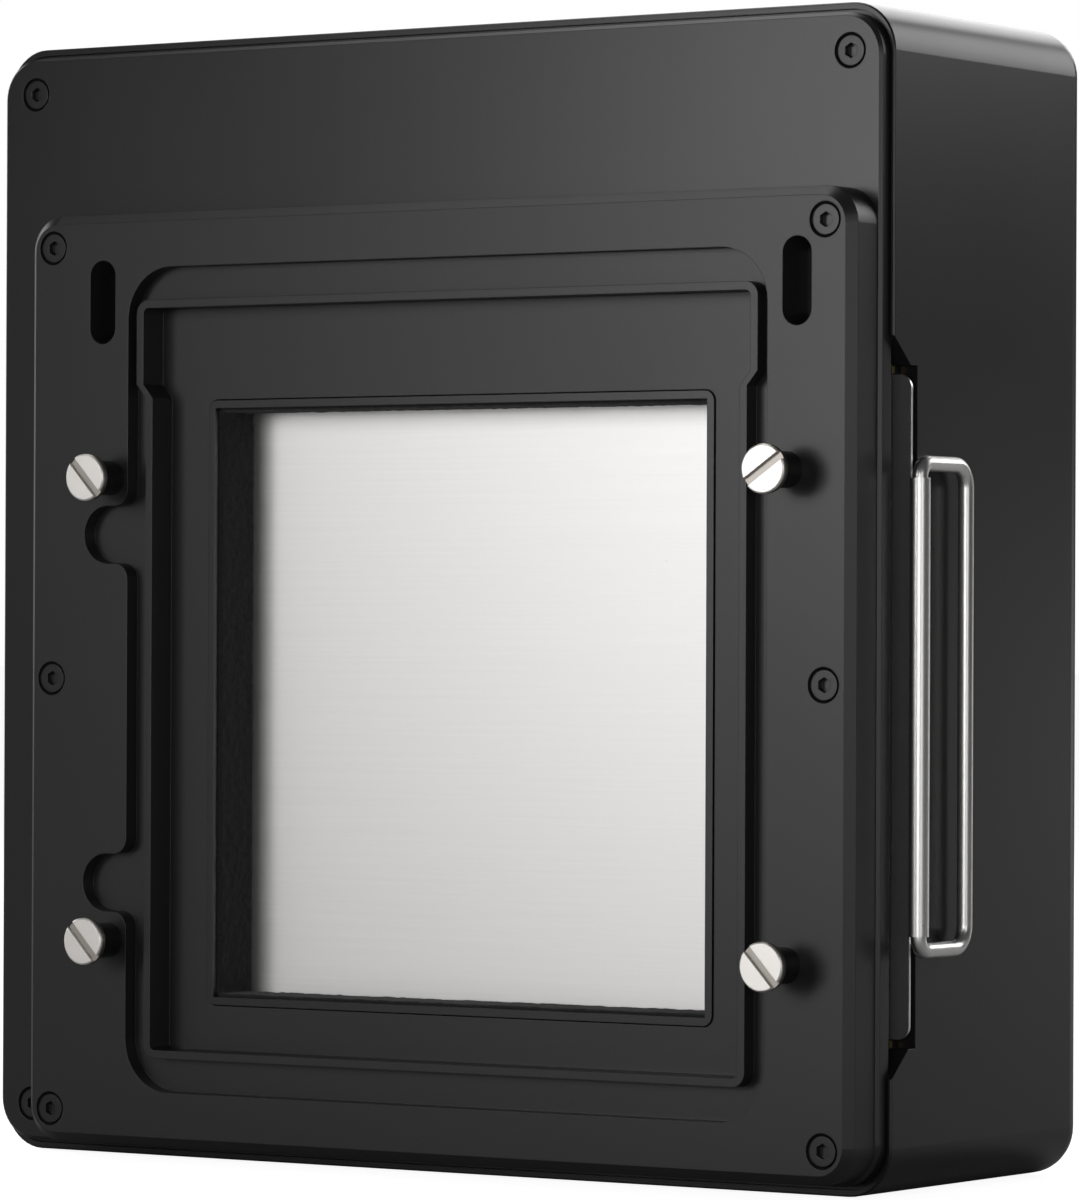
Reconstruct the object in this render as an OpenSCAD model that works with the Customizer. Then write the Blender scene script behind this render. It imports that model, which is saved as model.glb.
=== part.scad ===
// Sheet film holder with a camera adapter on its front and a pull-out dark slide.
// X runs to the side the slide leaves by, -Y is the camera side, +Z is up.
// Everything is laid out from the body's centre line, the adapter's front face
// and the underside, and place() then moves it to the middle of the footprint.

/* [Body] */
// Width of the rear shell
body_w = 112.7; // [108:0.1:136]
// Height of the rear shell
body_h = 120; // [118:0.5:144]
// Distance from the adapter's front face to the back of the shell
body_depth = 46.2; // [44:0.1:56]
// Corner radius of the shell, seen from the front
body_r = 5; // [4.2:0.1:7]
// Radius of the shell's back edges
back_r = 3.2; // [1:0.1:3.8]
// Wall thickness of the shell
wall = 2.2; // [1.8:0.1:3]

/* [Front plate] */
// Thickness of the front plate
plate_t = 2; // [1.8:0.1:2.6]
// How far the plate stands in front of the shell's rim
plate_proud = 1.6; // [0.6:0.1:1.6]
// Margin from the plate's side to the shell's side
plate_margin_x = 0.6; // [0.5:0.05:1.4]
// Margin from the plate's top to the shell's top
plate_margin_z = 1.1; // [0.8:0.1:1.6]
// Gap between the plate's sides and the rim
plate_gap = 0.15; // [0.1:0.05:0.2]
// Gap between the plate's top and the rim
plate_gap_z = 0.4; // [0.2:0.05:0.5]
// Chamfer on the rim's outer edge
rim_chamfer = 0.15; // [0.05:0.05:0.2]
// Chamfer on the plate's front edge
plate_chamfer = 0.35; // [0.1:0.05:0.5]
// Distance from the shell's side to the corner screws
corner_screw_in = 4.6; // [4.2:0.1:5.4]
// Offset of the corner screws' middle to the slide's side
corner_shift = 0.3; // [0:0.1:0.4]

/* [Adapter plate] */
// Width of the adapter plate
adapter_w = 103.9; // [100:0.1:105]
// Height of the adapter plate
adapter_h = 99.7; // [99:0.1:106]
// Thickness of the adapter plate
adapter_t = 4.8; // [4.4:0.1:6]
// Offset of the adapter's middle to the slide's side
adapter_x = 3.45; // [2.8:0.05:3.6]
// Height of the adapter's middle
adapter_z = 51.4; // [51:0.1:54]
// Corner radius of the adapter plate
adapter_r = 3.8; // [2:0.1:5]
// Chamfer around the adapter's front edge
adapter_chamfer = 0.95; // [0.4:0.05:1.2]
// Half the distance between the two rows of adapter screws
adapter_screw_x = 48.65; // [48:0.05:49.2]
// Spacing of the adapter screws up each row
adapter_screw_dz = 46.4; // [45:0.1:47]

/* [Adapter recess] */
// Offset of the optical axis from the body's middle
lens_x = 5.2; // [4.8:0.05:5.4]
// Half width of the outer recess
recess_hw = 40.2; // [39.4:0.1:40.4]
// Lower edge of the outer recess
recess_z0 = 7.35; // [7:0.05:8]
// Upper edge of the outer recess
recess_z1 = 95.4; // [95:0.1:96]
// Corner radius of the outer recess
recess_r = 5.6; // [3:0.1:8]
// Depth of the channel around the raised rim
channel_depth = 1.8; // [1:0.1:2.4]
// Half width of the raised rim's outside
rim_hw = 37.8; // [37:0.1:38.2]
// Lower edge of the raised rim
rim_z0 = 10.95; // [10.6:0.05:11.4]
// Upper edge of the raised rim
rim_z1 = 91.9; // [91:0.1:92.4]
// Width of the raised rim
rim_t = 0.88; // [0.6:0.02:1.2]
// How much wider the raised rim is near its top, on each side
rim_ear = 1.25; // [0.6:0.05:1.5]
// Height at which the raised rim widens
rim_ear_z = 82.9; // [80:0.1:86]
// Depth of the inner recess
inner_depth = 3.5; // [2.8:0.1:3.8]
// Radius of the two finger pockets beside the studs
pocket_r = 3.1; // [2.4:0.1:3.3]
// Reach of the finger pockets past the recess's side
pocket_reach = 5.8; // [4.6:0.1:6]
// Heights of the two finger pockets
pocket_z = [29.55, 66.85];

/* [Studs and slots] */
// Half the distance between the two columns of studs
stud_x = 42.5; // [42.4:0.1:43.4]
// Heights of the lower and upper studs
stud_z = [23.4, 72.9];
// Diameter of the stud posts
post_d = 3.7; // [3.4:0.1:4]
// Length of the stud posts
post_len = 3.8; // [3:0.1:5]
// Diameter of the slotted heads
head_d = 5; // [4.4:0.1:5.6]
// Thickness of the slotted heads
head_t = 0.85; // [0.7:0.05:1.2]
// Width of the screwdriver slot
driver_slot = 0.9; // [0.6:0.05:1.1]
// Half the distance between the two oblong slots
slot_x = 43.65; // [43.5:0.05:44]
// Height of the slots' middle
slot_z = 91.8; // [90:0.1:92]
// Width of the slots
slot_w = 3.4; // [3:0.1:3.8]
// End-to-end length of the slots
slot_len = 8.95; // [7:0.05:9.4]

/* [Window and light trap] */
// Outside width of the light-trap frame
trap_w = 63.7; // [62:0.1:64.2]
// Outside height of the light-trap frame
trap_h = 64.45; // [62:0.05:65]
// Height of the window's middle
trap_z = 48.93; // [48.4:0.01:49.4]
// Corner radius of the light-trap frame
trap_r = 1.1; // [0.6:0.1:1.6]
// Wall thickness of the light-trap frame
trap_wall = 0.85; // [0.6:0.05:1.2]
// How far the frame's front edge stands above the recess floor
trap_proud = 0.2; // [0:0.05:0.6]
// Width of the flange behind the front plate
trap_flange = 1.6; // [1:0.1:1.9]
// Thickness of the velvet lining
velvet_t = 0.35; // [0.2:0.05:0.5]

/* [Dark slide] */
// Height of the sheet
slide_h = 66.9; // [66.4:0.1:67.2]
// Height of the sheet's middle
slide_z = 49.2; // [49:0.05:49.4]
// Thickness of the sheet
slide_t = 0.3; // [0.25:0.05:0.4]
// Depth of the sheet's front face behind the adapter's face
slide_y = 10; // [9.8:0.1:10.4]
// How far the sheet reaches past the window on the closed side
slide_overlap = 4.4; // [3:0.1:5]
// How far the sheet's outer end stays inside the shell's side face
slide_end_in = 0.1; // [0.1:0.1:1]
// Distance from the shell's side face to the handle's axis
handle_out = 1.4; // [1.1:0.05:1.6]
// Length of the rolled tube
tube_len = 46; // [40:0.5:47]
// Wall thickness of the rolled tube
tube_wall = 0.22; // [0.2:0.02:0.3]
// Diameter of the handle wire
wire_d = 1.6; // [1.4:0.1:1.7]
// Overall height of the handle loop
loop_h = 50.5; // [50:0.5:54]
// Distance between the handle's two long legs
loop_reach = 9.2; // [7:0.1:12]

/* [Door] */
// Thickness of the rear door
door_t = 2.4; // [2.2:0.1:3]
// Distance from the shell's side to the hinge pin
hinge_in = 7.2; // [6.6:0.1:8]
// Outside radius of the hinge barrel
hinge_r = 1.8; // [1.6:0.1:2]
// Diameter of the hinge pin
pin_d = 1.5; // [1.2:0.1:1.8]
// Margin from the shell's top to the door opening
door_margin = 8; // [7.5:0.1:10]
// Gap around the door
door_gap = 0.3; // [0.2:0.05:0.5]

/* [Film pack] */
// Width of the film pack
pack_w = 80; // [76:0.5:84]
// Height of the film pack
pack_h = 98; // [94:0.5:100]
// Thickness of the film pack
pack_t = 18; // [14:0.5:20]
// Height of the pack's middle
pack_z = 57; // [56:0.5:60]
// Wall thickness of the pack
pack_wall = 1.2; // [1:0.1:1.6]
// Thickness of the stack of sheets
stack_t = 4; // [2:0.5:6]

/* [Fits] */
// Radial clearance of a pin that turns in its bore
run_fit = 0.03; // [0.01:0.01:0.06]
// Radial clearance of a screw in its hole
screw_fit = 0.05; // [0.03:0.01:0.1]
// Clearance of a part set into a cut-out
seat_fit = 0.1; // [0.05:0.01:0.15]
// Clearance on each side of the sheet in its channel
slide_fit = 0.12; // [0.08:0.01:0.2]

/* [Hidden] */
$fn = 64;
eps = 0.01;
// layers from front to back
plate_y = adapter_t;
plate_back = plate_y + plate_t;
rim_y = plate_y + plate_proud;
guide_back = slide_y - slide_fit;
gate_y = slide_y + slide_t + slide_fit;
gate_t = 1.6;
gate_back = gate_y + gate_t;
notch_back = gate_y + 0.7;
back_y = body_depth;
door_y = back_y - door_t;
// the shell, the plate and the door
half_w = body_w / 2;
plate_w = body_w - 2 * plate_margin_x;
plate_h = body_h - 2 * plate_margin_z;
plate_r = body_r - plate_margin_x;
mid_z = body_h / 2;
ledge_y = door_y - 3;
ledge_t = 1.5;
ledge_reach = 3.3;
hinge_x = -half_w + hinge_in;
hinge_y = back_y - hinge_r;
opening_x0 = hinge_x - hinge_r - door_gap;
opening_x1 = half_w - 6.7;
opening_h = body_h - 2 * door_margin;
door_x0 = hinge_x + hinge_r + door_gap;
door_x1 = opening_x1 - door_gap;
door_h = opening_h - 2 * door_gap;
shell_knuckle = 20;
knuckle_gap = 0.15;
corner_x = half_w - corner_screw_in;
corner_z = mid_z - corner_screw_in - 0.4;
// the window, the guide and the slide
open_w = trap_w - 2 * trap_wall;
open_h = trap_h - 2 * trap_wall;
trap_y = inner_depth - trap_proud;
flange_t = 0.8;
guide_x0 = lens_x - trap_w / 2 - 9.2;
guide_x1 = half_w - wall - seat_fit;
channel_h = slide_h + 2 * slide_fit;
strip_h = 5.6;
guide_h = channel_h + 2 * strip_h;
guide_screw_xs = [guide_x0 + 2.8, lens_x + 4, guide_x1 - 2.6];
guide_screw_dz = channel_h / 2 + strip_h / 2;
slide_x0 = lens_x - open_w / 2 - slide_overlap;
slide_x1 = half_w - slide_end_in;
axis_x = half_w + handle_out;
tube_r = wire_d / 2 + run_fit + tube_wall;
axis_y = slide_y + slide_t - tube_r;
near_bend = 1.35;
far_bend = 2.3;
// screws
shank_r = 1;
csk_r = 1.82;
csk_lead = 0.35;
screw_head_r = 1.52;
screw_head_in = 0.15;
hex_r = 0.78;
// the film pack
cradle_wall = 1.2;
cradle_len = 12;
tab_z = [pack_z - 27, pack_z + 27];
pack_y = gate_back + seat_fit;
cover_y = pack_y + pack_t - pack_wall;
sheets_y = pack_y + pack_wall;
spring_y = sheets_y + stack_t;
leaf_t = 0.4;
door_leaf_z = [mid_z - 24, mid_z + 24];
magnet_z = [mid_z - 36, mid_z + 36];
magnet_x = door_x1 - 2.2;
magnet_r = 1.9;
magnet_t = 1.5;
// the footprint's middle
mid_x = (axis_x + tube_r - half_w) / 2;
mid_y = (back_y - post_len - head_t) / 2;

// Moves a piece from the body's own centre line to the middle of the footprint.
module place() translate([-mid_x, -mid_y, 0]) children();

// Extrudes a shape drawn in X and Z from depth y0 to depth y1.
module slab(y0, y1) translate([0, y1, 0]) rotate([90, 0, 0]) linear_extrude(y1 - y0) children();

// Draws a rectangle with rounded corners about its middle.
module rounded(w, h, r) {
    square([w - 2 * r, h], center = true);
    square([w, h - 2 * r], center = true);
    for (sx = [-1, 1])
        for (sy = [-1, 1])
            translate([sx * (w / 2 - r), sy * (h / 2 - r)])
                circle(r);
}

// A round bar along Y from depth y0 to depth y1.
module bar(r, y0, y1) translate([0, y0, 0]) rotate([-90, 0, 0]) cylinder(h = y1 - y0, r = r);

// A cone along Y from radius r0 at depth y0 to radius r1 at depth y1.
module taper(r0, r1, y0, y1) translate([0, y0, 0]) rotate([-90, 0, 0]) cylinder(h = y1 - y0, r1 = r0, r2 = r1);

// A plate with rounded corners and a chamfer c round its front edge, front face at y = 0.
module bevelled_plate(w, h, r, t, c) {
    linear_extrude(h - 2 * r, center = true)
        bevel_profile(w, t, c);
    rotate([0, -90, 0])
        linear_extrude(w - 2 * r, center = true)
            bevel_profile(h, t, c);
    for (sx = [-1, 1])
        for (sz = [-1, 1])
            translate([sx * (w / 2 - r), 0, sz * (h / 2 - r)]) {
                taper(r - c, r, 0, c);
                bar(r, c, t);
            }
}

// The section of such a plate: flat behind, chamfered in front.
module bevel_profile(w, t, c)
    polygon([[-w / 2, t], [w / 2, t], [w / 2, c], [w / 2 - c, 0], [c - w / 2, 0], [-w / 2, c]]);

// A hole for a countersunk screw whose head sits below the surface at y = 0.
module csk_hole(len) {
    bar(csk_r, -eps, csk_lead);
    taper(csk_r, shank_r + screw_fit, csk_lead, csk_lead + csk_r - shank_r - screw_fit);
    bar(shank_r + screw_fit, 0, len);
}

// A countersunk screw with a hexagon socket, for a hole whose mouth is at y = 0.
module csk_screw(len) {
    seat = csk_lead + csk_r - screw_head_r;
    difference() {
        union() {
            bar(screw_head_r, screw_head_in, seat);
            taper(screw_head_r, shank_r, seat, seat + screw_head_r - shank_r);
            bar(shank_r, seat, len);
        }
        translate([0, screw_head_in + 0.7, 0])
            rotate([90, 0, 0])
                rotate(30)
                    cylinder(h = 1, r = hex_r, $fn = 6);
    }
}

// The shell's outside: straight sides, and back edges rounded by back_r.
module shell_body(y0) {
    translate([0, y0, 0])
        bevelled_plate(body_w, body_h, body_r, back_y - back_r - y0, rim_chamfer);
    slab(back_y - back_r - eps, back_y)
        rounded(body_w - 2 * back_r, body_h - 2 * back_r, body_r - back_r);
    for (s = [-1, 1]) {
        translate([0, back_y - back_r, s * (mid_z - back_r)])
            rotate([0, 90, 0])
                cylinder(h = body_w - 2 * body_r, r = back_r, center = true);
        translate([s * (half_w - back_r), back_y - back_r, 0])
            cylinder(h = body_h - 2 * body_r, r = back_r, center = true);
        for (sz = [-1, 1])
            translate([s * (half_w - body_r), back_y - back_r, sz * (mid_z - body_r)])
                rotate([90, 0, 0])
                    rotate_extrude()
                        corner_profile();
    }
}

// Half of the section through a rounded back corner.
module corner_profile() intersection() {
    union() {
        translate([body_r - back_r, 0])
            circle(back_r);
        translate([0, -back_r])
            square([body_r - back_r, 2 * back_r]);
    }
    translate([0, -back_r])
        square([body_r, 2 * back_r]);
}

// The notch in the shell's side that the dark slide leaves by, drawn in Y and Z.
module slide_notch() translate([half_w - wall - 1, 0, slide_z])
    rotate([90, 0, 90])
        linear_extrude(wall + 2)
            polygon([
                [rim_y - 0.9, -slide_h / 2 - 4.6], [slide_y - 0.3, -slide_h / 2 - 0.9],
                [notch_back, -slide_h / 2 - 0.9], [notch_back, slide_h / 2 + 0.9],
                [slide_y - 0.3, slide_h / 2 + 0.9], [rim_y - 0.9, slide_h / 2 + 4.6]]);

// The shell's two fixed hinge barrels, with the webs that carry them.
module shell_knuckles() for (s = [-1, 1])
    translate([hinge_x, hinge_y, s * (opening_h / 2 - shell_knuckle / 2)]) {
        cylinder(h = shell_knuckle, r = hinge_r, center = true);
        translate([-hinge_r - door_gap - 0.5, -hinge_r + 0.6, -shell_knuckle / 2])
            cube([hinge_r + door_gap + 0.5, 2 * hinge_r - 0.6, shell_knuckle]);
    }

// The deep rear shell, with a rim round the front plate and an opening for the door.
module rear_shell() color([0.09, 0.09, 0.09]) place() translate([0, 0, mid_z]) {
    difference() {
        union() {
            difference() {
                shell_body(rim_y);
                slab(rim_y - eps, plate_back)
                    rounded(plate_w + 2 * plate_gap, plate_h + 2 * plate_gap_z, plate_r + plate_gap);
                slab(plate_back - eps, door_y)
                    rounded(body_w - 2 * wall, body_h - 2 * wall, body_r - wall);
                translate([(opening_x0 + opening_x1) / 2, 0, 0])
                    slab(door_y - eps, back_y + eps)
                        square([opening_x1 - opening_x0, opening_h], center = true);
            }
            door_ledge();
            shell_knuckles();
            for (sx = [-1, 1])
                for (sz = [-1, 1])
                    translate([sx * corner_x + corner_shift, 0, sz * corner_z])
                        bar(3, plate_back, plate_back + 12);
        }
        translate([0, 0, -mid_z]) {
            corner_places()
                bar(shank_r + screw_fit, plate_back - eps, plate_back + 7);
            long_screw_place()
                bar(shank_r + screw_fit, plate_back - eps, plate_back + 7);
        }
        for (z = magnet_z)
            translate([magnet_x, 0, z - mid_z])
                bar(magnet_r + seat_fit, ledge_y + ledge_t - 0.8, ledge_y + ledge_t + eps);
        translate([hinge_x, hinge_y, 0])
            cylinder(h = opening_h + 2 * eps, r = pin_d / 2 + run_fit, center = true);
        translate([0, 0, -mid_z])
            slide_notch();
    }
}

// The ledge inside the shell that the door's seal lies on.
module door_ledge() slab(ledge_y, ledge_y + ledge_t)
    difference() {
        rounded(body_w - wall, body_h - wall, body_r - wall / 2);
        translate([(door_x0 + door_x1) / 2, 0])
            square([door_x1 - door_x0 - 2 * ledge_reach - 4, door_h - 2 * ledge_reach], center = true);
    }

// The flat plate set into the shell's front.
module front_plate() color([0.16, 0.16, 0.16]) place() difference() {
    translate([0, plate_y, mid_z])
        bevelled_plate(plate_w, plate_h, plate_r, plate_t, plate_chamfer);
    trap_cut(plate_y, plate_back);
    translate([0, plate_y, 0])
        corner_places()
            csk_hole(plate_t + 1);
    adapter_screw_places()
        bar(shank_r + screw_fit, plate_y - eps, plate_back + eps);
    guide_screw_places()
        bar(shank_r + screw_fit, plate_back - 1.5, plate_back + eps);
}

// Cuts the window that the light-trap frame passes through.
module trap_cut(y0, y1) translate([lens_x, 0, trap_z])
    slab(y0 - eps, y1 + eps)
        rounded(trap_w + 2 * seat_fit, trap_h + 2 * seat_fit, trap_r + seat_fit);

// The three corners where a screw of its own holds the front plate.
module corner_places() for (c = [[-1, -1], [-1, 1], [1, 1]])
    translate([c[0] * corner_x + corner_shift, 0, mid_z + c[1] * corner_z])
        children();

// The fourth corner, where an adapter screw goes on through the plate into the shell.
module long_screw_place() translate([adapter_x + adapter_screw_x, 0, adapter_z - adapter_screw_dz])
    children();

module adapter_screw_places() for (sx = [-1, 1])
    for (k = [-1, 0, 1])
        translate([adapter_x + sx * adapter_screw_x, 0, adapter_z + k * adapter_screw_dz])
            children();

module stud_places() for (sx = [-1, 1])
    for (z = stud_z)
        translate([lens_x + sx * stud_x, 0, z])
            children();

module guide_screw_places() for (x = guide_screw_xs)
    for (s = [-1, 1])
        translate([x, 0, slide_z + s * guide_screw_dz])
            children();

// The raised rim's outline, wider above rim_ear_z; grow moves it in or out.
module rim_outline(grow) translate([lens_x, (rim_z0 + rim_z1) / 2]) {
    h = rim_z1 - rim_z0 + 2 * grow;
    ear = rim_ear_z - (rim_z0 + rim_z1) / 2;
    rounded(2 * (rim_hw + grow), h, 1.5 + grow);
    intersection() {
        rounded(2 * (rim_hw + rim_ear + grow), h, 1.5 + grow);
        polygon([
            [-rim_hw - rim_ear - grow, h / 2], [rim_hw + rim_ear + grow, h / 2],
            [rim_hw + rim_ear + grow, ear], [rim_hw + grow, ear - 1.5],
            [-rim_hw - grow, ear - 1.5], [-rim_hw - rim_ear - grow, ear]]);
    }
}

// The outer recess with its two finger pockets on the closed side.
module recess_outline() {
    translate([lens_x, (recess_z0 + recess_z1) / 2])
        rounded(2 * recess_hw, recess_z1 - recess_z0, recess_r);
    for (z = pocket_z)
        translate([lens_x - recess_hw - pocket_reach + pocket_r, z]) {
            circle(pocket_r);
            translate([0, -pocket_r])
                square([pocket_reach - pocket_r + 1, 2 * pocket_r]);
            pocket_mouth();
        }
}

// Rounds the two corners where a pocket opens into the recess.
module pocket_mouth() {
    mouth = 1.7;
    for (s = [-1, 1])
        difference() {
            translate([pocket_reach - pocket_r - mouth, s > 0 ? pocket_r - eps : -pocket_r - mouth])
                square([mouth + eps, mouth + eps]);
            translate([pocket_reach - pocket_r - mouth, s * (pocket_r + mouth)])
                circle(mouth);
        }
}

// The milled plate that mates with the camera.
module adapter_plate() color([0.2, 0.2, 0.2]) place() difference() {
    translate([adapter_x, 0, adapter_z])
        bevelled_plate(adapter_w, adapter_h, adapter_r, adapter_t, adapter_chamfer);
    slab(-eps, channel_depth)
        difference() {
            recess_outline();
            rim_outline(0);
        }
    slab(-eps, inner_depth)
        rim_outline(-rim_t);
    trap_cut(0, adapter_t);
    for (s = [-1, 1])
        translate([lens_x + s * slot_x, 0, slot_z])
            slab(-eps, adapter_t + eps)
                rounded(slot_w, slot_len, slot_w / 2 - eps);
    adapter_screw_places()
        csk_hole(adapter_t + 1);
    stud_places()
        bar(shank_r + screw_fit, -eps, adapter_t - 0.6);
}

module stud_posts() color([0.06, 0.06, 0.06]) place() stud_places() difference() {
    bar(post_d / 2, -post_len, 0);
    bar(shank_r + screw_fit, -post_len - eps, eps);
}

// Slotted screws that clamp the posts; the driver slots are left at the angles they stopped at.
module stud_screws() color([0.8, 0.8, 0.8]) place()
    for (sx = [-1, 1])
        for (k = [0, 1])
            translate([lens_x + sx * stud_x, -post_len, stud_z[k]])
                slotted_screw(sx > 0 && k == 1 ? -34 : 47);

module slotted_screw(turn) difference() {
    union() {
        taper(head_d / 2 - 0.15, head_d / 2, -head_t, 0.15 - head_t);
        bar(head_d / 2, 0.15 - head_t, 0);
        bar(shank_r, -eps, post_len + adapter_t - 0.8);
    }
    rotate([0, turn, 0])
        translate([-head_d, -head_t - eps, -driver_slot / 2])
            cube([2 * head_d, 0.45 + eps, driver_slot]);
}

module adapter_screws() color([0.07, 0.07, 0.07]) place() {
    adapter_screw_places()
        csk_screw(plate_back - 0.2);
    long_screw_place()
        bar(shank_r, plate_back - 1, plate_back + 6);
}

module corner_screws() color([0.07, 0.07, 0.07]) place() translate([0, plate_y, 0]) corner_places()
    csk_screw(plate_t + 6);

// The thin frame that lines the window, held by a flange behind the front plate.
module light_trap_frame() color([0.12, 0.12, 0.12]) place() translate([lens_x, 0, trap_z]) difference() {
    union() {
        slab(trap_y, guide_back)
            rounded(trap_w, trap_h, trap_r);
        slab(plate_back, plate_back + flange_t)
            square([trap_w + 2 * trap_flange, trap_h + 2 * trap_flange], center = true);
    }
    slab(trap_y - eps, guide_back + eps)
        square([open_w, open_h], center = true);
}

// Velvet on the frame's four inner faces.
module window_velvet() color([0.03, 0.03, 0.03]) place() translate([lens_x, 0, trap_z])
    slab(trap_y + 0.6, guide_back)
        difference() {
            square([open_w, open_h], center = true);
            square([open_w - 2 * velvet_t, open_h - 2 * velvet_t], center = true);
        }

// The block between the front plate and the slide.
module guide_plate() color([0.08, 0.08, 0.08]) place() difference() {
    translate([(guide_x0 + guide_x1) / 2, 0, slide_z])
        slab(plate_back, guide_back)
            square([guide_x1 - guide_x0, guide_h], center = true);
    trap_cut(plate_back, guide_back);
    translate([lens_x, 0, trap_z])
        slab(plate_back - eps, plate_back + flange_t)
            square([trap_w + 2 * trap_flange + 2 * seat_fit, trap_h + 2 * trap_flange + 2 * seat_fit], center = true);
    seal_cut(guide_back - 0.8, guide_back + eps);
    guide_screw_places()
        bar(shank_r + screw_fit, plate_back - eps, guide_back + eps);
}

// The strips above, below and behind the sheet that set the width of its channel.
module slide_rails() color([0.7, 0.68, 0.6]) place() difference() {
    translate([(guide_x0 + guide_x1) / 2, 0, slide_z])
        slab(guide_back, gate_y)
            square([guide_x1 - guide_x0, guide_h], center = true);
    translate([slide_x0 - slide_fit, 0, slide_z - channel_h / 2])
        translate([0, guide_back - eps, 0])
            cube([body_w, gate_y - guide_back + 2 * eps, channel_h]);
    guide_screw_places()
        bar(shank_r + screw_fit, guide_back - eps, gate_y + eps);
}

// The pocket for a velvet strip at the slide's way out.
module seal_cut(y0, y1) translate([guide_x1 - 6, y0, slide_z - channel_h / 2])
    cube([4.2, y1 - y0, channel_h]);

// Two velvet strips that close the slot on both sides of the sheet.
module slot_velvet() color([0.03, 0.03, 0.03]) place()
    for (y = [guide_back - 0.8, gate_y - 0.05])
        translate([guide_x1 - 6 + seat_fit, y, slide_z - channel_h / 2 + seat_fit])
            cube([4.2 - 2 * seat_fit, 0.85, channel_h - 2 * seat_fit]);

// The plate behind the slide, with the opening that frames the picture.
module film_gate() color([0.1, 0.1, 0.1]) place() difference() {
    translate([(guide_x0 - 7 + guide_x1) / 2, 0, pack_z])
        slab(gate_y, gate_back)
            square([guide_x1 - guide_x0 + 7, pack_h + 8], center = true);
    translate([lens_x, 0, trap_z])
        slab(gate_y - eps, gate_back + eps)
            square([open_w, open_h], center = true);
    for (sx = [-1, 1])
        for (sz = [-1, 1])
            translate([sx * corner_x + corner_shift, 0, mid_z + sz * corner_z])
                bar(4, gate_y - eps, gate_back + eps);
    seal_cut(gate_y - eps, gate_y + 0.8);
    translate([0, gate_back, 0])
        mirror([0, 1, 0])
            guide_screw_places()
                csk_hole(gate_t + 1);
    cradle_screw_places()
        bar(shank_r + screw_fit, gate_back - 0.75, gate_back + eps);
}

module guide_screws() color([0.07, 0.07, 0.07]) place()
    translate([0, gate_back, 0])
        mirror([0, 1, 0])
            guide_screw_places()
                csk_screw(gate_back - plate_back + 1.3);

// The steel sheet, its outer end rolled into a tube round the handle.
module dark_slide() color([0.85, 0.85, 0.84]) place() translate([0, 0, slide_z]) difference() {
    union() {
        slab(slide_y, slide_y + slide_t)
            union() {
                translate([(slide_x0 + slide_x1) / 2, 0])
                    rounded(slide_x1 - slide_x0, slide_h, 1.4);
                translate([slide_x1 - 3, -tube_len / 2])
                    square([axis_x - slide_x1 + 3, tube_len]);
            }
        translate([axis_x, axis_y, 0])
            cylinder(h = tube_len, r = tube_r, center = true);
    }
    translate([axis_x, axis_y, 0])
        cylinder(h = tube_len + 1, r = wire_d / 2 + run_fit, center = true);
}

// The wire loop, folded back along the shell's side.
module slide_handle() color([0.75, 0.75, 0.75]) place() translate([axis_x, axis_y, slide_z]) {
    top = (loop_h - wire_d) / 2;
    cylinder(h = 2 * (top - near_bend), r = wire_d / 2, center = true);
    translate([0, loop_reach, 0])
        cylinder(h = 2 * (top - far_bend), r = wire_d / 2, center = true);
    for (s = [-1, 1])
        mirror([0, 0, s > 0 ? 0 : 1]) {
            translate([0, near_bend, top])
                rotate([-90, 0, 0])
                    cylinder(h = loop_reach - near_bend - far_bend, r = wire_d / 2);
            translate([0, near_bend, top - near_bend])
                wire_bend(near_bend, 90);
            translate([0, loop_reach - far_bend, top - far_bend])
                wire_bend(far_bend, 0);
        }
}

// A quarter bend of the wire in the Y-Z plane, starting at the given angle.
module wire_bend(r, from) rotate([90, 0, 90])
    rotate(from)
        rotate_extrude(angle = 90)
            translate([r, 0])
                circle(wire_d / 2);

// The frame on the gate that the film pack drops into.
module pack_cradle() color([0.3, 0.3, 0.3]) place() difference() {
    union() {
        translate([lens_x, 0, pack_z])
            slab(gate_back, gate_back + cradle_len)
                difference() {
                    square([pack_w + 2 * seat_fit + 2 * cradle_wall, pack_h + 2 * seat_fit + 2 * cradle_wall], center = true);
                    square([pack_w + 2 * seat_fit, pack_h + 2 * seat_fit], center = true);
                }
        for (sx = [-1, 1])
            for (z = tab_z)
                translate([lens_x + sx * (pack_w / 2 + seat_fit + 0.6 + 2.5), gate_back + 0.5, z])
                    cube([5, 1, 8], center = true);
    }
    cradle_screw_places()
        bar(shank_r + screw_fit, gate_back - eps, gate_back + 1 + eps);
}

module cradle_screw_places() for (sx = [-1, 1])
    for (z = tab_z)
        translate([lens_x + sx * (pack_w / 2 + seat_fit + 3.8), 0, z])
            children();

module cradle_screws() color([0.6, 0.6, 0.6]) place() cradle_screw_places() difference() {
    union() {
        bar(shank_r, gate_back - 0.7, gate_back + 1);
        bar(1.9, gate_back + 1, gate_back + 2);
    }
    translate([0, gate_back + 1.5, 0])
        rotate([-90, 0, 0])
            cylinder(h = 1, r = hex_r, $fn = 6);
}

// The pack's box, open behind, with the picture opening in its front.
module pack_case() color([0.12, 0.12, 0.12]) place() difference() {
    translate([lens_x, 0, pack_z])
        slab(pack_y, pack_y + pack_t)
            square([pack_w, pack_h], center = true);
    translate([lens_x, 0, pack_z])
        slab(pack_y + pack_wall, pack_y + pack_t + eps)
            square([pack_w - 2 * pack_wall, pack_h - 2 * pack_wall], center = true);
    translate([lens_x, 0, trap_z])
        slab(pack_y - eps, pack_y + pack_wall + eps)
            square([open_w + 4, open_h + 4], center = true);
}

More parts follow.
